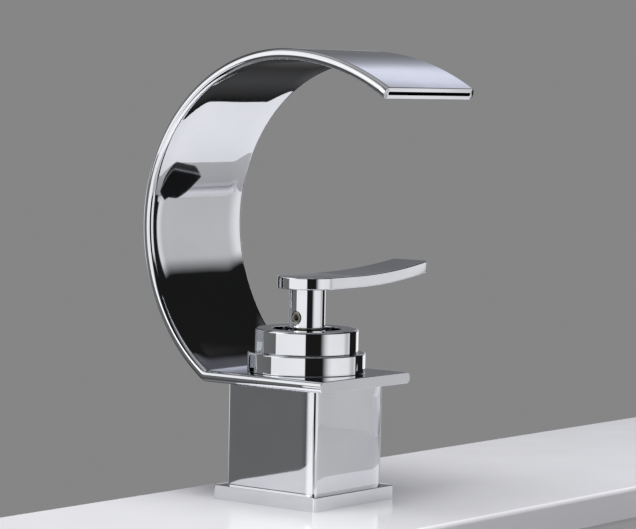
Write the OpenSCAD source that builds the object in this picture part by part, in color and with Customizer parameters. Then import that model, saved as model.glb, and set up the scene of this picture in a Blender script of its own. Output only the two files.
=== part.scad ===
// Single-lever basin mixer with a C-shaped ribbon spout.
// Z is up and Z = 0 is the deck face. The spout pours toward +X and the lever points toward +Y.

/* [Base and body] */
// Side of the square base plate
base_side = 56.6; // [52:1:64]
// Height of the base plate
base_h = 6.6; // [5.5:0.1:8]
// Side of the square body
body_side = 49.2; // [46.4:0.2:50]
// Height of the body's top face over the deck
body_top = 51.6; // [50.6:0.1:53]
// Radius of the base plate's vertical corners
base_corner = 1; // [0.6:0.1:2]
// Radius of the body's vertical corners
body_corner = 2.4; // [1:0.1:3]

/* [Spout] */
// Width of the ribbon
ribbon_w = 64; // [60:1:70]
// Thickness of the ribbon
ribbon_t = 5; // [4.6:0.1:5.4]
// Rounding of the ribbon's long edges
ribbon_r = 2.2; // [0.8:0.1:2.2]
// Wall between the water channel and the outside
wall = 1.4; // [1.2:0.1:1.6]
// Reach of the flat foot of the ribbon in front of the body's axis
foot_front = 33.3; // [30:0.1:36]
// Outer radius of the crown arc, from the top of the arch to the lip
crown_r = 106.7; // [105:0.1:108]
// Outer radius of the back arc, from the rearmost point to the top
back_r = 78; // [77:0.1:79]
// Outer radius of the heel arc, from the foot to the rearmost point
heel_r = 82.1; // [81:0.1:83]
// Angle of the lip, seen from the crown arc's centre
lip_angle = 58.3; // [50:0.1:62]
// Lean of the lip's end face from upright
lip_lean = 18; // [0:1:30]
// Height of the outlet slot
slot_t = 1.5; // [1.2:0.1:2]

/* [Collar and cap] */
// Radius of the lower ring that clamps the spout
collar_r = 25.9; // [24.5:0.1:28]
// Height of the lower ring
collar_h = 8.6; // [8:0.1:10]
// Radius of the cap
cap_r = 22.7; // [22.4:0.1:24]
// Height of the cap
cap_h = 10.3; // [10:0.1:11]
// Radius of the opening in the cap
cap_opening_r = 15.2; // [15:0.1:16]

/* [Handle] */
// Radius of the handle's post
post_r = 7.95; // [7.5:0.05:8.5]
// Height of the post's foot over the deck
post_foot = 74.7; // [74.6:0.1:75.5]
// Height of the lever's underside over the deck
lever_z = 93.1; // [90:0.1:100]
// Thickness of the lever
lever_t = 5.3; // [4.5:0.1:6.5]
// Length of the lever from the post's axis to the tip
lever_len = 76.4; // [60:1:90]
// Radius of the lever's round end
lever_hub_r = 13.2; // [11:0.1:14]
// Half the width of the lever at its tip
lever_tip = 10; // [8:0.1:11]
// Radius of the lever's upward curve
lever_curve = 360; // [250:10:500]

/* [Deck fixing] */
// Thickness of the deck that the fixing is shown clamped to
deck_t = 30; // [15:1:40]

/* [Hidden] */

eps = 0.01;
fine = 96;
medium = 48;

// Body and turret
spigot_r = 17;
turret_r = 21;
turret_top = 69;
seat_r = 17.6;
seat_z = 27.4;
gland_r = 19;

// Water ways: two inlets, one outlet port under the cartridge, two risers at the rear corners
port_x = 8;
port_y = 2.5;
port_r = 2.6;
inlet_r = 5;
inlet_depth = 14;
outlet_y = -9;
outlet_r = 3.2;
gallery_z = 22.5;
gallery_r = 2.8;
riser = 18;
riser_r = 3;
riser_seal_r = 4.2;
riser_seal_h = 1.6;

// Deck fixing
stud_y = -12;
stud_r = 4;
stud_depth = 14;
clamp_r = 25;
rubber_t = 3.5;
plate_t = 2.5;
nut_h = 6.5;
nut_flats = 13;
thread_play = 0.05;

// Seal under the base plate
seal_in = 20.4;
seal_out = 23.4;
seal_h = 1.8;

// Spout: the arcs meet smoothly at the top of the arch and at its rearmost point
foot_top = body_top + ribbon_t;
crown_c = [8.7, 90.9];
back_c = crown_c + [0, crown_r - back_r];
heel_c = back_c + [heel_r - back_r, 0];
heel_sweep = 59;
foot_rear = -32.4;
channel_t = ribbon_t - 2 * wall;
channel_w = ribbon_w - 2 * 2.6;
channel_r = 0.5;
lip_run = 4;

// Collar and cap
collar_top = foot_top + collar_h;
cap_top = collar_top + cap_h;
cap_wall = 2.9;
turret_play = 0.1;

// Cartridge, from the seat up
base_t = 4;
seal_cup = 1.2;
seal_cup_r = 4.3;
disc_z = seat_z + base_t;
fixed_t = 3.5;
disc_play = 0.05;
moving_z = disc_z + fixed_t + disc_play;
moving_t = 4;
moving_r = 12;
carrier_z = moving_z + moving_t;
carrier_t = 2.6;
rotor_z = carrier_z + carrier_t + 0.4;
housing_r = 17.4;
housing_in = 16.2;
shoulder_z = 54.9;
shoulder_t = 2.1;
neck_r = 13.2;
neck_in = 12.1;
neck_top = 61;
rotor_flange_r = 15.9;
rotor_r = 11.8;
rotor_top = 60.8;
slot_half = 3.4;
nut_t = 5.7;

// Lift pivot, stem and dust cover
pivot_z = 58;
pin_r = 1.5;
pin_play = 0.06;
stem_arm = 8;
ball_r = 2.6;
ball_z = pivot_z - stem_arm;
square = 8;
square_z = 63.5;
stem_top = 88;
dome_r = 16.4;
dome_t = 1.2;
dome_z = 66.5;
screw_r = 2.45;
screw_z = 80.5;

function polar(r, a) = [r * cos(a), r * sin(a)];

module rounded_square(x, y, r) {
    square([x - 2 * r, y], center = true);
    square([x, y - 2 * r], center = true);
    for (sx = [-1, 1], sy = [-1, 1])
        translate([sx * (x / 2 - r), sy * (y / 2 - r)])
            circle(r, $fn = medium);
}

module tube(r_out, r_in, h, fn = fine) {
    difference() {
        cylinder(r = r_out, h = h, $fn = fn);
        translate([0, 0, -1])
            cylinder(r = r_in, h = h + 2, $fn = fn);
    }
}

module at_ports() {
    for (sx = [-1, 1])
        translate([sx * port_x, port_y, 0])
            children();
    translate([0, outlet_y, 0])
        children();
}

// One arc of the ribbon or of its channel: t thick and w wide, inset from the outer radius
module ribbon_arc(c, r, from, sweep, t, w, inset, edge) {
    translate([c[0], 0, c[1]])
        rotate([90, 0, 0])
            rotate([0, 0, from])
                rotate_extrude(angle = sweep, $fn = 2 * fine)
                    translate([r - inset - t / 2, 0])
                        rounded_square(t, w, edge);
}

module ribbon_path(t, w, inset, edge, crown_sweep) {
    ribbon_arc(crown_c, crown_r, 90, -crown_sweep, t, w, inset, edge);
    ribbon_arc(back_c, back_r, 90, 90, t, w, inset, edge);
    difference() {
        ribbon_arc(heel_c, heel_r, 180, heel_sweep, t, w, inset, edge);
        translate([-2 * heel_r, -ribbon_w, body_top + inset - heel_r])
            cube([3 * heel_r, 2 * ribbon_w, heel_r]);
    }
}

module foot_run(x_end, t, w, inset, edge) {
    translate([foot_rear, 0, body_top + inset + t / 2])
        rotate([0, 90, 0])
            linear_extrude(x_end - foot_rear)
                rounded_square(t, w, edge);
}

module base_plate() {
    color("silver")
        difference() {
            linear_extrude(base_h)
                rounded_square(base_side, base_side, base_corner);
            translate([0, 0, -1])
                cylinder(r = spigot_r + 0.3, h = base_h + 2, $fn = fine);
            translate([0, 0, -1])
                tube(seal_out + 0.2, seal_in - 0.2, seal_h + 1);
        }
}

module base_seal() {
    color("dimgray")
        tube(seal_out, seal_in, seal_h);
}

module body() {
    color("silver")
        difference() {
            union() {
                translate([0, 0, base_h])
                    linear_extrude(body_top - base_h)
                        rounded_square(body_side, body_side, body_corner);
                translate([0, 0, 1])
                    cylinder(r = spigot_r, h = base_h, $fn = fine);
                translate([0, 0, body_top - 1])
                    cylinder(r = turret_r, h = turret_top - body_top + 1, $fn = fine);
            }
            translate([0, 0, seat_z])
                cylinder(r = seat_r, h = turret_top, $fn = fine);
            translate([0, 0, shoulder_z])
                cylinder(r = gland_r, h = turret_top, $fn = fine);
            for (sx = [-1, 1])
                translate([sx * port_x, port_y, 0]) {
                    cylinder(r = inlet_r, h = inlet_depth, $fn = medium);
                    cylinder(r = port_r, h = seat_z + 1, $fn = medium);
                }
            translate([0, stud_y, 0])
                cylinder(r = stud_r + thread_play, h = stud_depth, $fn = medium);
            translate([0, outlet_y, gallery_z])
                cylinder(r = outlet_r, h = seat_z - gallery_z + 1, $fn = medium);
            gallery();
            for (sy = [-1, 1])
                translate([-riser, sy * riser, gallery_z]) {
                    cylinder(r = riser_r, h = body_top, $fn = medium);
                    translate([0, 0, body_top - gallery_z - riser_seal_h])
                        cylinder(r = riser_seal_r + 0.1, h = body_top, $fn = medium);
                }
        }
}

// The cast passage from under the outlet port to the foot of both risers
module gallery() {
    run = [-riser, -riser - outlet_y];
    translate([0, outlet_y, gallery_z])
        rotate([0, 90, atan2(run[1], run[0])])
            cylinder(r = gallery_r, h = norm(run), $fn = medium);
    translate([-riser, -riser, gallery_z])
        rotate([-90, 0, 0])
            cylinder(r = gallery_r, h = 2 * riser, $fn = medium);
}

module riser_seals() {
    color("dimgray")
        for (sy = [-1, 1])
            translate([-riser, sy * riser, body_top - riser_seal_h])
                tube(riser_seal_r, riser_r, riser_seal_h, medium);
}

module spout() {
    lip = crown_c + polar(crown_r, lip_angle);
    color("gainsboro")
        difference() {
            union() {
                ribbon_path(ribbon_t, ribbon_w, 0, ribbon_r, 94 - lip_angle);
                foot_run(foot_front, ribbon_t, ribbon_w, 0, ribbon_r);
            }
            ribbon_path(channel_t, channel_w, wall, channel_r, 90 - lip_angle - lip_run);
            ribbon_arc(crown_c, crown_r, lip_angle + lip_run + 1, -lip_run - 6,
                slot_t, channel_w, (ribbon_t - slot_t) / 2, channel_r);
            foot_channel();
            translate([0, 0, body_top - 1])
                cylinder(r = turret_r + turret_play, h = ribbon_t + 2, $fn = fine);
            for (sy = [-1, 1])
                translate([-riser, sy * riser, body_top - 1])
                    cylinder(r = riser_r, h = wall + 2, $fn = medium);
            translate([lip[0], 0, lip[1]])
                rotate([0, lip_lean, 0])
                    translate([0, -ribbon_w, -20])
                        cube([20, 2 * ribbon_w, 40]);
        }
}

// The wide water way in the rear of the foot, which ends at the wall round the turret
module foot_channel() {
    difference() {
        foot_run(-riser + riser_seal_r, channel_t, channel_w, wall, channel_r);
        translate([0, 0, body_top])
            cylinder(r = turret_r + wall, h = ribbon_t, $fn = fine);
    }
}

module collar() {
    color("silver")
        translate([0, 0, foot_top])
            tube(collar_r, turret_r + turret_play, collar_h);
}

module cap() {
    color("silver")
        translate([0, 0, collar_top])
            difference() {
                cylinder(r = cap_r, h = cap_h, $fn = fine);
                translate([0, 0, -1])
                    cylinder(r = turret_r + turret_play, h = turret_top - collar_top + 1.2, $fn = fine);
                cylinder(r = gland_r, h = cap_h - cap_wall, $fn = fine);
                cylinder(r = cap_opening_r, h = cap_h + 1, $fn = fine);
            }
}

module cartridge_nut() {
    color("goldenrod")
        translate([0, 0, shoulder_z])
            difference() {
                tube(gland_r - thread_play, neck_r + 0.3, nut_t);
                for (a = [0 : 90 : 270])
                    rotate([0, 0, a])
                        translate([gland_r - 3, -2, nut_t - 2])
                            cube([6, 4, 4]);
            }
}

module cartridge_housing() {
    color("whitesmoke")
        difference() {
            union() {
                translate([0, 0, disc_z])
                    cylinder(r = housing_r, h = shoulder_z - disc_z, $fn = fine);
                cylinder_between(neck_r, shoulder_z - 1, neck_top);
            }
            cylinder_between(housing_in, disc_z - 1, shoulder_z - shoulder_t);
            cylinder_between(neck_in, disc_z, neck_top + 1);
        }
}

module cylinder_between(r, low, high) {
    translate([0, 0, low])
        cylinder(r = r, h = high - low, $fn = fine);
}

module cartridge_base() {
    color("darkgray")
        difference() {
            cylinder_between(housing_r, seat_z, disc_z);
            at_ports() {
                cylinder_between(port_r, seat_z - 1, disc_z + 1);
                cylinder_between(seal_cup_r + 0.1, seat_z - 1, seat_z + seal_cup);
                cylinder_between(seal_cup_r + 0.1, disc_z - seal_cup, disc_z + 1);
            }
        }
}

module port_seals() {
    color("dimgray")
        translate([0, 0, seat_z])
            at_ports()
                tube(seal_cup_r, port_r + 0.4, seal_cup, medium);
}

module disc_seals() {
    color("dimgray")
        translate([0, 0, disc_z - seal_cup])
            at_ports()
                tube(seal_cup_r, port_r + 0.4, seal_cup, medium);
}

module fixed_disc() {
    color("white")
        difference() {
            cylinder_between(housing_in - 0.4, disc_z, disc_z + fixed_t);
            at_ports()
                cylinder_between(port_r, disc_z - 1, disc_z + fixed_t + 1);
        }
}

// The pocket joins the outlet port to the inlet ports once the disc has slid toward the lever's tip
module moving_disc() {
    color("ivory")
        difference() {
            cylinder_between(moving_r, moving_z, moving_z + moving_t);
            translate([-port_x, outlet_y, moving_z - 1])
                cube([2 * port_x, -1 - outlet_y, 3]);
        }
}

module disc_carrier() {
    boss = 2 * slot_half - 0.8;
    color("dodgerblue")
        difference() {
            union() {
                cylinder_between(moving_r + 0.4, carrier_z, carrier_z + carrier_t);
                translate([-boss / 2, -4.2, carrier_z + carrier_t - 1])
                    cube([boss, 8.4, ball_z + 1 - carrier_z - carrier_t + 1]);
            }
            translate([0, 0, ball_z - ball_r - 1])
                cylinder(r = ball_r + 0.3, h = 10, $fn = medium);
        }
}

module cartridge_rotor() {
    color("lightgray")
        difference() {
            union() {
                cylinder_between(rotor_flange_r, rotor_z, shoulder_z - shoulder_t - 0.3);
                cylinder_between(rotor_r, shoulder_z - shoulder_t - 1.3, rotor_top);
            }
            translate([-slot_half, -8.3, rotor_z - 1])
                cube([2 * slot_half, 16.6, rotor_top]);
            translate([-rotor_r - 1, 0, pivot_z])
                rotate([0, 90, 0])
                    cylinder(r = pin_r + pin_play, h = 2 * rotor_r + 2, $fn = medium);
        }
}

module pivot_pin() {
    length = 19;
    color("slategray")
        translate([-length / 2, 0, pivot_z])
            rotate([0, 90, 0])
                cylinder(r = pin_r, h = length, $fn = medium);
}

module cartridge_stem() {
    color("goldenrod")
        difference() {
            union() {
                translate([0, 0, ball_z])
                    sphere(ball_r, $fn = medium);
                cylinder_between(1.9, ball_z, ball_z + 4);
                translate([-3, -3.5, ball_z + 3])
                    cube([6, 7, square_z - ball_z - 2]);
                translate([-square / 2, -square / 2, square_z])
                    cube([square, square, stem_top - square_z]);
            }
            translate([-square, 0, pivot_z])
                rotate([0, 90, 0])
                    cylinder(r = pin_r + pin_play, h = 2 * square, $fn = medium);
        }
}

module dust_cover() {
    color("silver")
        translate([0, 0, pivot_z])
            rotate_extrude($fn = fine)
                intersection() {
                    difference() {
                        circle(dome_r, $fn = fine);
                        circle(dome_r - dome_t, $fn = fine);
                    }
                    translate([square / sqrt(2) + 0.1, dome_z - pivot_z])
                        square(dome_r);
                }
}

module handle_post() {
    clear = square + 0.1;
    color("silver")
        difference() {
            union() {
                cylinder_between(post_r, post_foot, lever_z);
                cylinder_between(post_r - 3, lever_z - 1, lever_z + 2);
            }
            translate([-clear / 2, -clear / 2, post_foot - 1])
                cube([clear, clear, stem_top + 0.5 - post_foot + 1]);
            translate([0, 0, screw_z])
                rotate([90, 0, 0])
                    cylinder(r = screw_r + thread_play, h = 2 * post_r, $fn = medium);
        }
}

module set_screw() {
    length = post_r - square / 2 - 0.4;
    color("dimgray")
        translate([0, -square / 2 - 0.05, screw_z])
            rotate([90, 0, 0])
                difference() {
                    cylinder(r = screw_r, h = length, $fn = medium);
                    translate([0, 0, length - 2])
                        cylinder(r = 1.45, h = 3, $fn = 6);
                }
}

// Plan of the lever: a round end over the post and a slightly narrower squared tip
module lever_plan() {
    tip_r = 1.8;
    circle(lever_hub_r, $fn = fine);
    polygon([
        [-lever_hub_r, 0], [lever_hub_r, 0],
        [lever_tip, lever_len - tip_r], [lever_tip - tip_r, lever_len],
        [tip_r - lever_tip, lever_len], [-lever_tip, lever_len - tip_r]
    ]);
    for (sx = [-1, 1])
        translate([sx * (lever_tip - tip_r), lever_len - tip_r])
            circle(tip_r, $fn = medium);
}

// Side view of the lever, drawn with its length along x: level over the post, then an upward arc
module lever_side() {
    level = 20;
    translate([-lever_hub_r - 1, 0])
        square([lever_hub_r + 1 + level, lever_t]);
    intersection() {
        translate([level, lever_t + lever_curve])
            difference() {
                circle(lever_curve + lever_t, $fn = 12 * fine);
                circle(lever_curve, $fn = 12 * fine);
            }
        translate([level - eps, -1])
            square([lever_len, 4 * lever_t]);
    }
}

module lever() {
    color("gainsboro")
        difference() {
            intersection() {
                translate([0, 0, lever_z - 1])
                    linear_extrude(5 * lever_t)
                        lever_plan();
                translate([-lever_hub_r - 1, 0, lever_z])
                    rotate([90, 0, 90])
                        linear_extrude(2 * lever_hub_r + 2)
                            lever_side();
            }
            cylinder_between(post_r - 3 + thread_play, lever_z - 1, lever_z + 2.1);
        }
}

module mounting_stud() {
    low = -deck_t - rubber_t - plate_t - nut_h - 20;
    color("lightsteelblue")
        translate([0, stud_y, low])
            cylinder(r = stud_r, h = stud_depth - 1 - low, $fn = medium);
}

// Horseshoe that straddles both supply hoses and hangs on the stud
module horseshoe(thickness) {
    difference() {
        cylinder(r = clamp_r, h = thickness, $fn = fine);
        translate([0, stud_y, -1])
            cylinder(r = stud_r + 0.4, h = thickness + 2, $fn = medium);
        translate([-15, -4.5, -1])
            cube([30, 2 * clamp_r, thickness + 2]);
    }
}

module clamp_rubber() {
    color("dimgray")
        translate([0, 0, -deck_t - rubber_t])
            horseshoe(rubber_t);
}

module clamp_plate() {
    color("silver")
        translate([0, 0, -deck_t - rubber_t - plate_t])
            horseshoe(plate_t);
}

module clamp_nut() {
    color("goldenrod")
        translate([0, stud_y, -deck_t - rubber_t - plate_t - nut_h])
            difference() {
                cylinder(r = nut_flats / sqrt(3), h = nut_h, $fn = 6);
                translate([0, 0, -1])
                    cylinder(r = stud_r + thread_play, h = nut_h + 2, $fn = medium);
            }
}

base_plate();
base_seal();
body();
riser_seals();
spout();
collar();
cap();
cartridge_nut();
cartridge_housing();
cartridge_base();
port_seals();
disc_seals();
fixed_disc();
moving_disc();
disc_carrier();
cartridge_rotor();
pivot_pin();
cartridge_stem();
dust_cover();
handle_post();
lever();
set_screw();
mounting_stud();
clamp_rubber();
clamp_plate();
clamp_nut();
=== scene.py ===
"""Looks of the basin mixer: smooth chrome pieces, procedural materials, deck, light and camera."""

import math

import bmesh
import bpy
from mathutils import Matrix, Vector


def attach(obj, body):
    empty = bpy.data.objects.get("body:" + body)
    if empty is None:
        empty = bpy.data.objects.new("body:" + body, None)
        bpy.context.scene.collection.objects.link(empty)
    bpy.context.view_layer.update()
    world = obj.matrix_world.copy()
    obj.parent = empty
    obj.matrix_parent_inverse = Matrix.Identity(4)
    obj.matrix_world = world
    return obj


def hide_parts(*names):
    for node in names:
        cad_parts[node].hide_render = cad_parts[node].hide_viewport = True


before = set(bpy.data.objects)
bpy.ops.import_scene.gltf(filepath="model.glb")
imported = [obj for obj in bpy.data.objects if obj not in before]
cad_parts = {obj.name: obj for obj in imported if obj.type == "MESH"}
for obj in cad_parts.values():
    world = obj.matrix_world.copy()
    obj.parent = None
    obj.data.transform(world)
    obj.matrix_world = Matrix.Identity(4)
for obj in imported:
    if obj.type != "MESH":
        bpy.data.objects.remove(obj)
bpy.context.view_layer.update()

# A millimetre in metres, and the points in a full circle
MM = 0.001
TURN = 128

# Shapes that the CAD model fixes, in millimetres. Z is 0 on the deck, X runs toward the user.

# Base plate: half its side, its height and its corner radius
BASE_HALF, BASE_H, BASE_CORNER = 28.3, 6.6, 1
# Groove for the rubber ring under the base plate
GROOVE_IN, GROOVE_OUT, GROOVE_H = 20.2, 23.6, 1.8
# Body: half its side, the height of its top and its corner radius
BODY_HALF, BODY_TOP, BODY_CORNER = 24.6, 51.6, 2.4
# The body's round spigot, and the base plate's bore round it
SPIGOT_R, BORE_R = 17, 17.3
# The threaded turret over the body, and inside it the cartridge's seat and the gland nut's thread
TURRET_R, TURRET_TOP = 21, 69
SEAT_R, SEAT_Z = 17.6, 27.4
GLAND_R, SHOULDER_Z = 19, 54.9
# Ribbon: width, thickness and the rounding of its long edges
RIBBON_W, RIBBON_T, RIBBON_R = 64, 5, 2.2
# Centre (x, z) and outer radius of the arcs that make the ribbon's C, from the lip to the foot
CROWN_C, CROWN_R = (8.7, 90.9), 106.7
BACK_C, BACK_R = (8.7, 119.6), 78
HEEL_C, HEEL_R = (12.8, 119.6), 82.1
# Where the crown's arc ends in degrees above X, and how far the lip's face leans from upright
LIP_ANGLE, LIP_LEAN = 58.3, 18
# The front end of the ribbon's foot, and how deep its inner face is dished
FOOT_FRONT, DISH = 33.3, 0.8
# Slot in the lip, the water way behind it, and the slot's depth in degrees of the crown's arc
SLOT_T, CHANNEL_T, CHANNEL_W, LIP_RUN = 1.5, 2.2, 58.8, 4
# Two risers from the body into the ribbon's foot, RISER behind and RISER to each side of the axis
RISER, RISER_R = 18, 3
# Lower ring, and upper ring with its opening
COLLAR_R, COLLAR_LOW, COLLAR_TOP = 25.9, 56.6, 65.2
CAP_R, CAP_TOP, OPENING_R, CAP_WALL = 22.7, 75.5, 15.2, 2.9
# Dust cover: height of the dome's centre, radius, thickness, lower end and the radius of its hole
DOME_C, DOME_R, DOME_T, DOME_LOW, DOME_HOLE = 58, 16.4, 1.2, 66.5, 5.757
# Post, and the set screw in it
POST_R, POST_FOOT, SOCKET_HALF = 7.95, 74.7, 4.05
SCREW_R, SCREW_Z = 2.45, 80.5
# Lever: underside over the post, thickness, reach, hub radius, half width and corner at the tip
LEVER_Z, LEVER_T, LEVER_LEN, HUB_R, TIP_HALF, TIP_R = 93.1, 5.3, 76.4, 13.2, 10, 1.8
# Where the lever starts to rise, and the radius it rises on
LEVER_LEVEL, LEVER_CURVE = 20, 360


# ---- Mesh helpers: rings of points in millimetres, lofted into closed pieces ----


def arc(centre, radius, start, end, steps):
    """Points of a circular arc from start to end degrees."""
    angles = [math.radians(start + (end - start) * i / steps) for i in range(steps + 1)]
    return [(centre[0] + radius * math.cos(a), centre[1] + radius * math.sin(a)) for a in angles]


def rounded_outline(half_x, half_y, corner, corner_steps, side_steps):
    """A closed outline with round corners, counterclockwise, with side_steps points along each side."""
    points = []
    quarters = [(1, 1, 0), (-1, 1, 90), (-1, -1, 180), (1, -1, 270)]
    for sx, sy, start in quarters:
        centre = (sx * (half_x - corner), sy * (half_y - corner))
        points += arc(centre, corner, start, start + 90, corner_steps)
    if side_steps < 2:
        return points
    full = []
    for i, point in enumerate(points):
        full.append(point)
        if i % (corner_steps + 1) == corner_steps:
            following = points[(i + 1) % len(points)]
            full += [
                tuple(a + (b - a) * k / side_steps for a, b in zip(point, following))
                for k in range(1, side_steps)
            ]
    return full


def square_ring(half, corner, z, fall=0.0):
    """A round-cornered square. Each side may fall away a little over the last 5 mm to its corners."""
    ring = []
    for x, y in rounded_outline(half, half, corner, 8, 32):
        reach = min(max((min(abs(x), abs(y)) - (half - corner - 5)) / 5, 0), 1)
        scale = 1 - fall * reach ** 2 / max(abs(x), abs(y))
        ring.append((x * scale, y * scale, z))
    return ring


def round_ring_like(ring, radius, z):
    """A circle whose points lie at the same bearings as those of ring."""
    return [
        (radius * x / math.hypot(x, y), radius * y / math.hypot(x, y), z)
        for x, y, _ in ring
    ]


def circle_ring(radius, z, count=TURN):
    return [
        (radius * math.cos(math.tau * i / count), radius * math.sin(math.tau * i / count), z)
        for i in range(count)
    ]


def fillet_step(radius, degrees):
    """How far a point of a fillet lies in from one face and in from the other."""
    angle = math.radians(degrees)
    return radius * (1 - math.cos(angle)), radius * (1 - math.sin(angle))


def walls(rings, cyclic=False):
    """The points of rings of equal length, and the quads between neighbouring rings."""
    count = len(rings[0])
    points = [point for ring in rings for point in ring]
    faces = []
    for i in range(len(rings) if cyclic else len(rings) - 1):
        low = i * count
        high = (i + 1) % len(rings) * count
        for j in range(count):
            k = (j + 1) % count
            faces.append((low + j, low + k, high + k, high + j))
    return points, faces


def loft(rings, cyclic=False):
    """A closed shape from rings: a cyclic one closes on itself, another is capped at both ends."""
    points, faces = walls(rings, cyclic)
    if not cyclic:
        count = len(rings[0])
        faces.append(tuple(range(count)))
        faces.append(tuple(range((len(rings) - 1) * count, len(rings) * count)))
    return points, faces


def lathe(profile, count=TURN):
    """A ring-shaped piece from a closed profile of (radius, z)."""
    return loft([circle_ring(r, z, count) for r, z in profile], cyclic=True)


def new_object(name, shape):
    """An object in metres from (points, faces) in millimetres, its faces turned outward."""
    points, faces = shape
    mesh = bpy.data.meshes.new(name)
    mesh.from_pydata([Vector(p) * MM for p in points], [], faces)
    work = bmesh.new()
    work.from_mesh(mesh)
    bmesh.ops.recalc_face_normals(work, faces=work.faces)
    work.to_mesh(mesh)
    work.free()
    obj = bpy.data.objects.new(name, mesh)
    bpy.context.scene.collection.objects.link(obj)
    return obj


def cut(obj, *shapes):
    """Takes each shape out of obj, for good."""
    for i, shape in enumerate(shapes):
        cutter = new_object(f"cutter_{i}", shape)
        step = obj.modifiers.new("cut", "BOOLEAN")
        step.operation = "DIFFERENCE"
        step.solver = "EXACT"
        step.object = cutter
        bpy.context.view_layer.update()
        evaluated = obj.evaluated_get(bpy.context.evaluated_depsgraph_get())
        mesh = bpy.data.meshes.new_from_object(evaluated)
        obj.modifiers.remove(step)
        obj.data = mesh
        bpy.data.objects.remove(cutter)


def smooth(obj, weight):
    """Smooth shading that keeps flat faces flat and corners sharp."""
    for polygon in obj.data.polygons:
        polygon.use_smooth = True
    obj.data.set_sharp_from_angle(angle=math.radians(35))
    shading = obj.modifiers.new("flat_faces", "WEIGHTED_NORMAL")
    shading.keep_sharp = True
    shading.weight = weight


def place(obj, material, body, node):
    """Gives a piece its shading, material and slot, the body it rides on and its CAD node."""
    obj.data.materials.clear()
    obj.data.materials.append(material)
    smooth(obj, 80)
    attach(obj, body)
    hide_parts(node)


# ---- Materials: chrome for the pieces made here, the rest for the CAD solids inside and below ----


def make_material(name, dark, light, patch, grain, rough, bump, metallic=0.0, stretch=(1, 1, 1)):
    """A procedural surface: patchy colour, grain in its gloss, and a low bump.

    patch and grain are noise scales per metre, rough is its lowest and highest roughness,
    and bump is (noise scale per metre, height in metres)."""
    material = bpy.data.materials.new(name)
    material.use_nodes = True
    nodes, links = material.node_tree.nodes, material.node_tree.links
    shader = nodes["Principled BSDF"]
    shader.inputs["Metallic"].default_value = metallic

    coordinates = nodes.new("ShaderNodeTexCoord")
    mapping = nodes.new("ShaderNodeMapping")
    mapping.inputs["Scale"].default_value = stretch
    links.new(coordinates.outputs["Object"], mapping.inputs["Vector"])

    def noise(scale, detail):
        node = nodes.new("ShaderNodeTexNoise")
        node.inputs["Scale"].default_value = scale
        node.inputs["Detail"].default_value = detail
        links.new(mapping.outputs["Vector"], node.inputs["Vector"])
        return node.outputs["Fac"]

    ramp = nodes.new("ShaderNodeValToRGB")
    ramp.color_ramp.elements[0].position = 0.35
    ramp.color_ramp.elements[0].color = (*dark, 1)
    ramp.color_ramp.elements[1].position = 0.65
    ramp.color_ramp.elements[1].color = (*light, 1)
    links.new(noise(patch, 4), ramp.inputs["Fac"])
    links.new(ramp.outputs["Color"], shader.inputs["Base Color"])

    gloss = nodes.new("ShaderNodeMapRange")
    gloss.inputs["From Min"].default_value = 0.3
    gloss.inputs["From Max"].default_value = 0.7
    gloss.inputs["To Min"].default_value = rough[0]
    gloss.inputs["To Max"].default_value = rough[1]
    links.new(noise(grain, 6), gloss.inputs["Value"])
    links.new(gloss.outputs["Result"], shader.inputs["Roughness"])

    relief = nodes.new("ShaderNodeBump")
    relief.inputs["Strength"].default_value = 1
    relief.inputs["Distance"].default_value = bump[1]
    links.new(noise(bump[0], 2), relief.inputs["Height"])
    links.new(relief.outputs["Normal"], shader.inputs["Normal"])
    return material


CHROME_DARK, CHROME_LIGHT = (0.70, 0.715, 0.74), (0.76, 0.77, 0.79)
chrome_ribbon = make_material(
    "chrome_ribbon", CHROME_DARK, CHROME_LIGHT, 20, 900, (0.015, 0.05), (22, 0.00012), 1
)
chrome_cast = make_material(
    "chrome_cast", CHROME_DARK, CHROME_LIGHT, 25, 900, (0.015, 0.05), (30, 0.00004), 1
)
chrome_turned = make_material(
    "chrome_turned", CHROME_DARK, CHROME_LIGHT, 40, 1400, (0.015, 0.045), (60, 0.00001), 1
)
screw_steel = make_material(
    "screw_steel", (0.24, 0.23, 0.20), (0.42, 0.40, 0.34), 500, 2500, (0.18, 0.35), (900, 0.00002), 1
)

MADE = {
    "brass": make_material(
        "machined_brass", (0.66, 0.47, 0.20), (0.80, 0.60, 0.29),
        60, 1800, (0.18, 0.34), (1500, 0.00001), 1, (1, 1, 6)
    ),
    "steel": make_material(
        "zinc_steel", (0.48, 0.49, 0.50), (0.64, 0.65, 0.66),
        90, 1600, (0.22, 0.42), (1200, 0.00001), 1
    ),
    "rubber": make_material(
        "black_rubber", (0.018, 0.018, 0.020), (0.035, 0.035, 0.037),
        150, 900, (0.55, 0.75), (1400, 0.00003)
    ),
    "white_plastic": make_material(
        "white_acetal", (0.78, 0.78, 0.75), (0.86, 0.86, 0.83),
        60, 800, (0.35, 0.50), (900, 0.00001)
    ),
    "grey_plastic": make_material(
        "grey_acetal", (0.30, 0.31, 0.32), (0.38, 0.39, 0.40),
        60, 800, (0.38, 0.52), (900, 0.00001)
    ),
    "blue_plastic": make_material(
        "blue_acetal", (0.05, 0.20, 0.52), (0.08, 0.27, 0.62),
        60, 800, (0.35, 0.50), (900, 0.00001)
    ),
    "ceramic": make_material(
        "alumina", (0.80, 0.79, 0.74), (0.88, 0.87, 0.83),
        120, 1500, (0.10, 0.22), (2000, 0.000004)
    ),
}
CARRIED_OVER = {
    "rubber": ["base_seal", "riser_seals", "port_seals", "disc_seals", "clamp_rubber"],
    "brass": ["cartridge_nut", "cartridge_stem", "clamp_nut"],
    "white_plastic": ["cartridge_housing"],
    "grey_plastic": ["cartridge_base", "cartridge_rotor"],
    "blue_plastic": ["disc_carrier"],
    "ceramic": ["fixed_disc", "moving_disc"],
    "steel": ["pivot_pin", "mounting_stud", "clamp_plate"],
}
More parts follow.
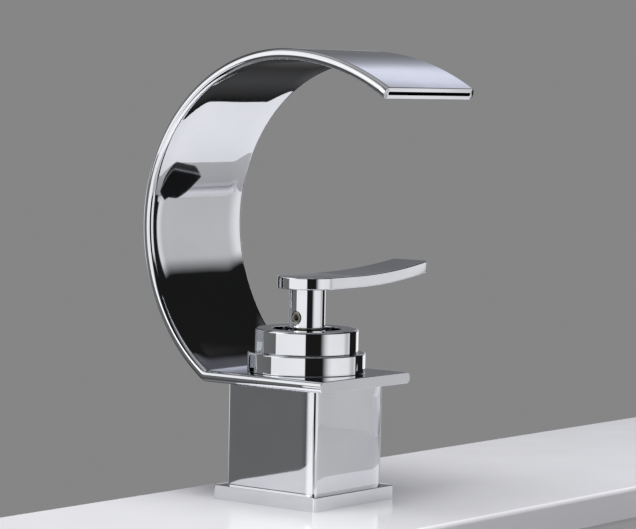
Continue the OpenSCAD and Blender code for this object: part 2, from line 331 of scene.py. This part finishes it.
for kind, names in CARRIED_OVER.items():
    for name in names:
        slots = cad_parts[name].data.materials
        slots.clear()
        slots.append(MADE[kind])


# ---- Base plate and body ----


def square_edge(half, corner, z, radius, start, end, steps=6, fall=0.0):
    """Rings round a fillet on the rim of a square block, z being the flat face's height."""
    side = 1 if end > start else -1
    level = z - side * radius
    rings = []
    for x, up in arc((0, 0), radius, start, end, steps):
        inset = radius - x
        rings.append(square_ring(half - inset, max(corner - inset, 0.15), level + up, fall))
    return rings


def base_shape():
    """From the bore out over the grooved underside, up the side and back over the sloping ledge."""
    outline = square_ring(BASE_HALF, BASE_CORNER, 0)
    underside = [
        (BORE_R, 0), (GROOVE_IN, 0), (GROOVE_IN, GROOVE_H), (GROOVE_OUT, GROOVE_H), (GROOVE_OUT, 0),
    ]
    rings = [round_ring_like(outline, r, z) for r, z in underside]
    rings += square_edge(BASE_HALF, BASE_CORNER, 0, 0.25, -90, 0, 3)
    rings += square_edge(BASE_HALF, BASE_CORNER, BASE_H - 0.35, 0.3, 0, 90)
    rings += [square_ring(BODY_HALF - 1, BODY_CORNER, BASE_H)]
    bore = [(BORE_R + 0.3, BASE_H), (BORE_R, BASE_H - 0.3)]
    rings += [round_ring_like(outline, r, z) for r, z in bore]
    return loft(rings, cyclic=True)


def body_shape():
    """From the spigot's foot up over the square block and the turret, then down inside to the seat."""
    outline = square_ring(BODY_HALF, BODY_CORNER, 0)

    def turned(r, z):
        return round_ring_like(outline, r, z)

    rings = [turned(SPIGOT_R - 0.5, 1), turned(SPIGOT_R, 1.5), turned(SPIGOT_R, BASE_H)]
    rings += square_edge(BODY_HALF, BODY_CORNER, BASE_H, 1.2, -90, 0, fall=0.12)
    rings += square_edge(BODY_HALF, BODY_CORNER, BODY_TOP, 1.1, 0, 90, fall=0.12)
    rings += [turned(TURRET_R, BODY_TOP), turned(TURRET_R, TURRET_TOP - 0.6)]
    rings += [turned(TURRET_R - 0.6, TURRET_TOP), turned(GLAND_R, TURRET_TOP)]
    rings += [turned(GLAND_R, SHOULDER_Z), turned(SEAT_R, SHOULDER_Z), turned(SEAT_R, SEAT_Z)]
    return loft(rings)


base = new_object("mixer_base", base_shape())
place(base, chrome_cast, "faucet", "base_plate")

body = new_object("mixer_body", body_shape())
# Two threaded inlets for the supply hoses that narrow on their way up to the cartridge's seat
inlet_profile = [(5, -1), (5, 14), (2.6, 14), (2.6, SEAT_Z + 1)]
inlets = [
    loft([
        [(x + side * 8, y + 2.5, z) for x, y, _ in circle_ring(r, 0, 48)]
        for r, z in inlet_profile
    ])
    for side in (-1, 1)
]
stud_hole = loft([[(x, y - 12, z) for x, y, _ in circle_ring(4.05, 0, 48)] for z in (-1, 14)])
cut(body, *inlets, stud_hole)
place(body, chrome_cast, "faucet", "body")


# ---- Spout: one sweep from the foot's front end to the lip, then back inside as the water way ----


def section(thickness, width, corner, inset=0.0):
    """Outline of a flat section as (depth from mid thickness, y)."""
    return rounded_outline(
        thickness / 2 - inset, width / 2 - inset, max(corner - inset, 0.05), 14, 36
    )


def ribbon_section(inset=0.0, dish=0.0):
    """The ribbon's section. Polishing has dished its inner face, run mm in from each long edge."""
    run = 10
    edge = RIBBON_W / 2 - 0.5 * RIBBON_R
    outline = []
    for d, y in section(RIBBON_T, RIBBON_W, RIBBON_R, inset):
        if d < 0 and abs(y) < edge:
            reach = min((edge - abs(y)) / run, 1)
            d += dish * (1 - (1 - reach) ** 2)
        outline.append((d, y))
    return outline


def along_arc(outline, centre, radius, angle):
    """The section set across an arc. Depth runs outward from the middle of the ribbon."""
    c, s = math.cos(math.radians(angle)), math.sin(math.radians(angle))
    middle = radius - RIBBON_T / 2
    return [
        (centre[0] + (middle + d) * c, y, centre[1] + (middle + d) * s)
        for d, y in outline
    ]


def along_foot(outline, x):
    """The section set across the flat foot, at x."""
    middle = BODY_TOP + RIBBON_T / 2
    return [(x, y, middle - d) for d, y in outline]


def at_lip(outline, back=0.0):
    """The section on the lip's leaning end face, or that far behind it along the ribbon.

    Each of its points lies on its own arc, and a few rounds find where that meets the leaning face."""
    lip = arc(CROWN_C, CROWN_R, LIP_ANGLE, LIP_ANGLE, 1)[0]
    lean = math.tan(math.radians(LIP_LEAN))
    points = []
    for d, y in outline:
        r = CROWN_R - RIBBON_T / 2 + d
        angle = math.radians(LIP_ANGLE)
        for _ in range(12):
            z = CROWN_C[1] + r * math.sin(angle)
            x = lip[0] - (lip[1] - z) * lean
            angle = math.acos((x - CROWN_C[0]) / r)
        angle += back / r
        points.append((CROWN_C[0] + r * math.cos(angle), y, CROWN_C[1] + r * math.sin(angle)))
    return points


def spout_shape():
    """Rings from the foot's front end, round the heel's bend and the C to the lip, and back inside."""
    # The bend that rounds the corner between foot and heel: radius, centre and where it ends
    bend_r = 6
    bend_z = BODY_TOP + bend_r
    bend_x = HEEL_C[0] - math.sqrt((HEEL_R - bend_r) ** 2 - (HEEL_C[1] - bend_z) ** 2)
    bend_from = 180 + math.degrees(math.atan2(HEEL_C[1] - bend_z, HEEL_C[0] - bend_x))
    outer = ribbon_section()
    dished = ribbon_section(dish=DISH)
    edge = 0.35

    rings = []
    for a in (90, 60, 30, 0):
        inset, run = fillet_step(edge, a)
        rings.append(along_foot(ribbon_section(inset), FOOT_FRONT - run))
    rings += [along_foot(outer, x) for x in (20, 5, -10, -24, bend_x + 0.01)]
    for i in range(1, 13):
        angle = 270 - (270 - bend_from) * i / 12
        rings.append(along_arc(outer, (bend_x, bend_z), bend_r, angle))
    steps = 50
    rings += [
        along_arc(
            ribbon_section(dish=DISH * min(i / 8, 1)),
            HEEL_C, HEEL_R, bend_from + (180 - bend_from) * i / steps,
        )
        for i in range(1, steps + 1)
    ]
    rings += [along_arc(dished, BACK_C, BACK_R, a) for a in range(179, 89, -1)]
    rings += [
        along_arc(ribbon_section(dish=DISH * (a - 60) / 30), CROWN_C, CROWN_R, a)
        for a in range(89, 59, -1)
    ]
    for a in (0, 30, 60, 90):
        inset, run = fillet_step(edge, a)
        rings.append(at_lip(ribbon_section(inset), run))

    slot = section(SLOT_T, CHANNEL_W, 0.5)
    channel = section(CHANNEL_T, CHANNEL_W, 0.5)
    inside = LIP_ANGLE + LIP_RUN
    rings.append(at_lip(slot))
    rings.append(along_arc(slot, CROWN_C, CROWN_R, inside))
    rings.append(along_arc(channel, CROWN_C, CROWN_R, inside + 0.2))
    rings += [along_arc(channel, CROWN_C, CROWN_R, a) for a in range(65, 90, 5)]
    rings += [along_arc(channel, BACK_C, BACK_R, a) for a in range(90, 181, 5)]
    rings += [along_arc(channel, HEEL_C, HEEL_R, a) for a in range(185, 230, 5)]
    return loft(rings)


spout = new_object("spout_ribbon", spout_shape())
turret_hole = loft([
    circle_ring(TURRET_R + 0.1, z) for z in (BODY_TOP - 2, BODY_TOP + RIBBON_T + 2)
])
riser_holes = [
    loft([
        [(x - RISER, y + side * RISER, z) for x, y, _ in circle_ring(RISER_R, z, 32)]
        for z in (BODY_TOP - 2, BODY_TOP + 2)
    ])
    for side in (-1, 1)
]
cut(spout, turret_hole, *riser_holes)
place(spout, chrome_ribbon, "faucet", "spout")


# ---- Collar, cap and dust cover ----


def turned_band(r_in, r_out, low, high, low_edge, high_edge, inner):
    """Closed profile of a ring with filleted outer edges. inner closes it from top to bottom."""
    profile = arc((r_out - low_edge, low + low_edge), low_edge, -90, 0, 5)
    profile += arc((r_out - high_edge, high - high_edge), high_edge, 0, 90, 7)
    profile += arc((r_in + 0.4, high - 0.4), 0.4, 90, 180, 4)
    return profile + inner


collar_bore = TURRET_R + 0.1
collar_inside = [(collar_bore, COLLAR_LOW + 0.3), (collar_bore + 0.3, COLLAR_LOW)]
collar = new_object(
    "lower_ring",
    lathe(turned_band(
        collar_bore, COLLAR_R, COLLAR_LOW, COLLAR_TOP, 0.35, 0.7, collar_inside
    ), 160),
)
place(collar, chrome_turned, "faucet", "collar")

cap_bore = TURRET_R + 0.1
cap_inside = [
    (OPENING_R, CAP_TOP - CAP_WALL), (GLAND_R, CAP_TOP - CAP_WALL),
    (GLAND_R, TURRET_TOP + 0.2), (cap_bore, TURRET_TOP + 0.2),
    (cap_bore, COLLAR_TOP + 0.3), (cap_bore + 0.3, COLLAR_TOP),
]
cap = new_object(
    "upper_ring",
    lathe(turned_band(OPENING_R, CAP_R, COLLAR_TOP, CAP_TOP, 0.35, 1.0, cap_inside), 160),
)
place(cap, chrome_turned, "faucet", "cap")


def dome_profile():
    """Closed profile of a dome with a round hole in its top."""
    inner_r = DOME_R - DOME_T
    low_out = math.degrees(math.asin((DOME_LOW - DOME_C) / DOME_R))
    low_in = math.degrees(math.asin((DOME_LOW - DOME_C) / inner_r))
    high_out = math.degrees(math.acos(DOME_HOLE / DOME_R))
    high_in = math.degrees(math.acos(DOME_HOLE / inner_r))
    outside = arc((0, DOME_C), DOME_R, low_out, high_out, 16)
    inside = arc((0, DOME_C), inner_r, high_in, low_in, 16)
    return outside + inside


dust_cover = new_object("handle_dome", lathe(dome_profile(), 96))
place(dust_cover, chrome_turned, "handle", "dust_cover")


# ---- Post, set screw and lever ----


def post_shape():
    """A filleted round post with a short spigot on top that goes into the lever."""
    profile = arc((POST_R - 0.4, POST_FOOT + 0.4), 0.4, -90, 0, 5)
    profile += arc((POST_R - 0.2, LEVER_Z - 0.2), 0.2, 0, 90, 3)
    profile += [(POST_R - 3, LEVER_Z), (POST_R - 3, LEVER_Z + 1.7), (POST_R - 3.3, LEVER_Z + 2)]
    return loft([circle_ring(r, z) for r, z in profile])


def toward_user_left(rings):
    """Turns rings drawn up the z axis so that they point along -Y, at the set screw's height."""
    return [[(x, -z, y + SCREW_Z) for x, y, z in ring] for ring in rings]


post = new_object("handle_post_round", post_shape())
socket = loft([
    [(x, y, z) for x, y in rounded_outline(SOCKET_HALF, SOCKET_HALF, 0.3, 4, 1)]
    for z in (POST_FOOT - 1, 88.5)
])
screw_hole_profile = [
    (SCREW_R + 0.05, 0), (SCREW_R + 0.05, POST_R - 0.75),
    (SCREW_R + 0.6, POST_R - 0.1), (SCREW_R + 0.6, POST_R + 1),
]
screw_hole = loft(toward_user_left([circle_ring(r, z, 48) for r, z in screw_hole_profile]))
cut(post, socket, screw_hole)
place(post, chrome_turned, "handle", "handle_post")


def screw_shape():
    """A grub screw: a chamfered round end with a hexagon socket sunk into it."""
    count = 48
    start = SOCKET_HALF
    length = POST_R - start - 0.35
    socket_r = 1.45

    def hexagon(z):
        ring = []
        for i in range(count):
            a = math.tau * i / count
            within = (a + math.pi / 6) % (math.pi / 3) - math.pi / 6
            r = socket_r * math.cos(math.pi / 6) / math.cos(within)
            ring.append((r * math.cos(a), r * math.sin(a), z))
        return ring

    end = start + length
    rings = [circle_ring(r, z, count) for r, z in [(SCREW_R - 0.5, start), (SCREW_R, start + 0.4)]]
    rings += [circle_ring(SCREW_R, end - 0.3, count), circle_ring(SCREW_R - 0.3, end, count)]
    rings += [hexagon(end), hexagon(end - 2)]
    return loft(toward_user_left(rings))


screw = new_object("grub_screw", screw_shape())
place(screw, screw_steel, "handle", "set_screw")


def lever_height(y):
    """How far the lever has risen at y: level over the post, then an upward arc."""
    run = max(y - LEVER_LEVEL, 0)
    return LEVER_CURVE - math.sqrt(LEVER_CURVE ** 2 - run ** 2)


def lever_thickness(y):
    """The lever's two arcs share a centre, so it thins a little toward the tip."""
    run = max(y - LEVER_LEVEL, 0)
    low_r = LEVER_CURVE + LEVER_T
    top = LEVER_T + LEVER_CURVE - math.sqrt(LEVER_CURVE ** 2 - run ** 2)
    low = LEVER_T + LEVER_CURVE - math.sqrt(low_r ** 2 - run ** 2)
    return top - low


def lever_half_outline():
    """Right half of the lever's plan as (x, y, outward x, outward y), from the hub's back to the tip."""
    rows = []
    for i in range(25):
        a = math.radians(-90 + 90 * i / 24)
        rows.append((HUB_R * math.cos(a), HUB_R * math.sin(a), math.cos(a), math.sin(a)))
    side_from, side_to = (HUB_R, 0), (TIP_HALF, LEVER_LEN - TIP_R)
    slope = math.atan2(side_from[0] - side_to[0], side_to[1] - side_from[1])
    normal = (math.cos(slope), math.sin(slope))
    for i in range(1, 36):
        t = i / 36
        x = side_from[0] + (side_to[0] - side_from[0]) * t
        rows.append((x, side_to[1] * t, *normal))
    for i in range(13):
        a = math.radians(90 * i / 12)
        rows.append((
            TIP_HALF - TIP_R + TIP_R * math.cos(a), LEVER_LEN - TIP_R + TIP_R * math.sin(a),
            math.cos(a), math.sin(a),
        ))
    return rows


def lever_shape():
    """Loops from the middle of the underside round both filleted rims to the middle of the top."""
    fillet = 0.55
    half = lever_half_outline()
    whole = half + [(-x, y, -nx, ny) for x, y, nx, ny in reversed(half)]
    count = len(whole)
    loops = []
    for side, angles in ((-1, (90, 60, 30, 0)), (1, (0, 30, 60, 90))):
        for a in angles:
            out, up = fillet_step(fillet, a)
            loop = []
            for x, y, nx, ny in whole:
                px, py = x - nx * out, y - ny * out
                top = LEVER_Z + LEVER_T + lever_height(py)
                bottom = top - lever_thickness(py)
                loop.append((px, py, top - up if side > 0 else bottom + up))
            loops.append(loop)
    points, faces = walls(loops)
    for start in (0, (len(loops) - 1) * count):
        for j in range(count // 2 - 1):
            quad = (start + j, start + j + 1, start + count - 2 - j, start + count - 1 - j)
            faces.append(tuple(dict.fromkeys(quad)))
    return points, faces


lever = new_object("lever_blade", lever_shape())
cut(lever, loft([circle_ring(POST_R - 2.95, z) for z in (LEVER_Z - 1, LEVER_Z + 2.1)]))
place(lever, chrome_cast, "handle", "lever")


# ---- Deck, light and camera ----

# The ledge's back, front and two ends, the rounding of its front edge and its underside
DECK_BACK, DECK_FRONT, DECK_LEFT, DECK_RIGHT = -58, 86, -480, 560
DECK_EDGE, DECK_UNDER = 2, -130
# The basin's depth and front end, and how far its floor runs on beyond that on the left
BASIN_DEPTH, BASIN_FRONT, BASIN_OUTER = 22, 236, 110
# The left end of the basin's rim, the rim's width and its rounding
RIM_LEFT, RIM_W, RIM_R = 350, 40, 18
# Brightness of the plain backdrop that the camera sees
BACKDROP = 0.24


def add_floor(name, profile, material, left=DECK_LEFT, right=DECK_RIGHT):
    """A glazed slab along Y from its closed profile of (x, z)."""
    floor = new_object(name, loft([[(x, y, z) for x, z in profile] for y in (left, right)]))
    smooth(floor, 50)
    floor.data.materials.append(material)


def add_deck():
    """The ledge the mixer stands on, and the shallow basin in front of it.

    A rim closes the basin on the right; on the left its floor runs on."""
    bottom = -BASIN_DEPTH
    ledge = arc((DECK_BACK + 1, -1), 1, 180, 90, 4)
    ledge += arc((DECK_FRONT - DECK_EDGE, -DECK_EDGE), DECK_EDGE, 90, 0, 10)
    ledge += [(DECK_FRONT, DECK_UNDER), (DECK_BACK, DECK_UNDER)]
    rim_front = BASIN_FRONT + RIM_W
    rim = arc((BASIN_FRONT + RIM_R, -RIM_R), RIM_R, 180, 90, 12)
    rim += [(rim_front, 0), (rim_front, DECK_UNDER), (BASIN_FRONT, DECK_UNDER)]
    glaze = make_material(
        "glazed_deck", (0.72, 0.72, 0.75), (0.78, 0.78, 0.81), 3, 40, (0.08, 0.14), (6, 0.0001)
    )
    add_floor("deck_floor", ledge, glaze)
    add_floor("rim_floor", rim, glaze, left=RIM_LEFT)
    basin = arc((DECK_FRONT + 8, bottom + 8), 8, 180, 270, 10)
    basin += [(BASIN_FRONT, bottom), (BASIN_FRONT, DECK_UNDER), (DECK_FRONT, DECK_UNDER)]
    # The basin floor uses the same glaze as the deck, darkened to about 0.45. The darkening is painted
    # shade for the basin's lower floor, not a different glaze.
    basin_glaze_painted_shade = make_material(
        "glazed_basin_painted_shade", (0.42, 0.42, 0.43), (0.46, 0.46, 0.47), 3, 40, (0.08, 0.14), (6, 0.0001)
    )
    add_floor("basin_floor", basin, basin_glaze_painted_shade)
    # The floor that runs on beyond the rim carries the same painted shade.
    outer_front = BASIN_FRONT + BASIN_OUTER
    outer = [
        (BASIN_FRONT, DECK_UNDER), (BASIN_FRONT, bottom),
        (outer_front, bottom), (outer_front, DECK_UNDER),
    ]
    add_floor("basin_outer_floor", outer, basin_glaze_painted_shade, right=RIM_LEFT)


def add_panel(name, centre, target, size, power, glossy=True):
    """A rectangular soft light facing target."""
    data = bpy.data.lights.new(name, "AREA")
    data.shape = "RECTANGLE"
    data.size, data.size_y = size
    data.energy = power
    lamp = bpy.data.objects.new(name, data)
    bpy.context.scene.collection.objects.link(lamp)
    lamp.location = centre
    lamp.rotation_euler = (Vector(target) - Vector(centre)).to_track_quat("-Z", "Y").to_euler()
    lamp.visible_camera = False
    lamp.visible_glossy = glossy


def add_world():
    """A studio by direction: soft boxes round the horizon, grey wall side, dark room above.

    Each light is a brightness by bearing, in degrees from +X toward +Y, times one by height.
    The overhead light goes by height alone, and the glow is the only tinted one."""
    world = bpy.data.worlds.new("studio")
    bpy.context.scene.world = world
    world.use_nodes = True
    nodes, links = world.node_tree.nodes, world.node_tree.links

    def calculate(operation, *inputs):
        node = nodes.new("ShaderNodeMath")
        node.operation = operation
        for socket, value in zip(node.inputs, inputs):
            if isinstance(value, (int, float)):
                socket.default_value = value
            else:
                links.new(value, socket)
        return node.outputs[0]

    def levels(angle, stops):
        """Brightness against an angle in degrees from -180 to 180."""
        ramp = nodes.new("ShaderNodeValToRGB")
        elements = ramp.color_ramp.elements
        while len(elements) < len(stops):
            elements.new(0.5)
        for element, (degrees, value) in zip(elements, stops):
            element.position = (degrees + 180) / 360
            element.color = (value, value, value, 1)
        links.new(calculate("MULTIPLY_ADD", angle, 1 / math.tau, 0.5), ramp.inputs["Fac"])
        return ramp.outputs["Color"]

    coordinates = nodes.new("ShaderNodeTexCoord")
    split = nodes.new("ShaderNodeSeparateXYZ")
    links.new(coordinates.outputs["Generated"], split.inputs["Vector"])
    bearing = calculate("ARCTAN2", split.outputs["Y"], split.outputs["X"])
    height = calculate("ARCSINE", split.outputs["Z"])

    boxes = levels(bearing, [
        (-180, 0), (-124.5, 0), (-123.5, 1.05), (-54.5, 1.05), (-54, 0), (-20, 0), (-8, 0.8),
        (0, 1), (38, 0.95), (47, 0.62), (53, 0.58), (56, 0.78), (59.4, 0.9), (59.9, 0), (180, 0),
    ])
    boxes_span = levels(height, [(-30, 0), (-28, 1), (12, 1), (18, 0)])
    strips = levels(bearing, [
        (-180, 0.3), (-166, 0), (92.5, 0), (93.5, 1), (127.5, 1), (128, 0.4), (128.5, 1),
        (158, 1), (170, 0.4), (180, 0.3),
    ])
    strips_span = levels(height, [(-9, 0), (-7, 1), (1, 1), (4, 0)])
    wall = levels(bearing, [
        (-180, 0.26), (-160, 0.20), (-128, 0.175), (-120, 0), (96, 0), (112, 0.10),
        (150, 0.12), (180, 0.26),
    ])
    wall_span = levels(height, [(-50, 1.1), (-36, 0.55), (-24, 0.25), (-12, 0.8), (8, 1), (30, 0.35)])
    glow = levels(bearing, [
        (96, 0), (99, 0.8), (118, 0.9), (122, 0.45), (126, 0.2), (135, 0.1), (150, 0),
    ])
    glow_span = levels(height, [
        (-2, 0), (3, 0.3), (14, 0.35), (21, 0.6), (26, 1), (30, 0.95), (34, 0.36), (37, 0.12), (50, 0),
    ])
    lip_side = levels(bearing, [(59, 0), (59.9, 0.9), (65, 0.9), (67, 0)])
    lip_side_span = levels(height, [(-32, 0), (-29, 1), (-20, 1), (-15, 0)])
    overhead = levels(height, [(40, 0), (58, 0.30), (90, 0.45)])
    room = 0.012
    light = calculate("MULTIPLY_ADD", boxes, boxes_span, room)
    light = calculate("MULTIPLY_ADD", strips, strips_span, light)
    light = calculate("MULTIPLY_ADD", wall, wall_span, light)
    light = calculate("MULTIPLY_ADD", lip_side, lip_side_span, light)
    light = calculate("ADD", light, overhead)

    path = nodes.new("ShaderNodeLightPath")
    seen = calculate("MULTIPLY", path.outputs["Is Camera Ray"], BACKDROP)
    unseen = calculate("SUBTRACT", 1, path.outputs["Is Camera Ray"])
    light = calculate("MULTIPLY_ADD", light, unseen, seen)
    glow = calculate("MULTIPLY", calculate("MULTIPLY", glow, glow_span), unseen)

    def mix(blend, first, second):
        node = nodes.new("ShaderNodeMix")
        node.data_type = "RGBA"
        node.blend_type = blend
        node.inputs[0].default_value = 1
        for socket, value in ((node.inputs[6], first), (node.inputs[7], second)):
            if isinstance(value, tuple):
                socket.default_value = value
            else:
                links.new(value, socket)
        return node.outputs[2]

    even = mix("MULTIPLY", light, (0.99, 0.99, 1.005, 1))
    blue = mix("MULTIPLY", glow, (0.90, 0.92, 1.08, 1))
    links.new(mix("ADD", even, blue), nodes["Background"].inputs["Color"])


def add_camera():
    """A long lens from the front left, a little below the crown's height."""
    data = bpy.data.cameras.new("view")
    data.sensor_width = 36
    data.lens = 156.28
    data.shift_x = 0.0067
    data.shift_y = -0.0071
    camera = bpy.data.objects.new("view", data)
    right = Vector((0.78551, 0.61857, 0.01859))
    up = Vector((-0.05396, 0.03854, 0.99780))
    back = Vector((0.61649, -0.78478, 0.06365))
    camera.matrix_world = Matrix.Translation((0.7482, -0.9485, 0.1826)) @ Matrix(
        (right, up, back)
    ).transposed().to_4x4()
    bpy.context.scene.collection.objects.link(camera)
    bpy.context.scene.camera = camera


add_deck()
add_world()
# The card shows as the bright band along the ribbon's edge. The fill only lights the deck.
add_panel("side_card", (-0.36, -0.52, 0.42), (0.02, -0.03, 0.17), (0.5, 0.62), 1.0)
add_panel("top_fill", (0.10, -0.25, 1.3), (0.05, 0, 0), (0.9, 0.9), 25, glossy=False)
add_camera()
bpy.context.scene.view_settings.view_transform = "Standard"

bpy.context.view_layer.update()
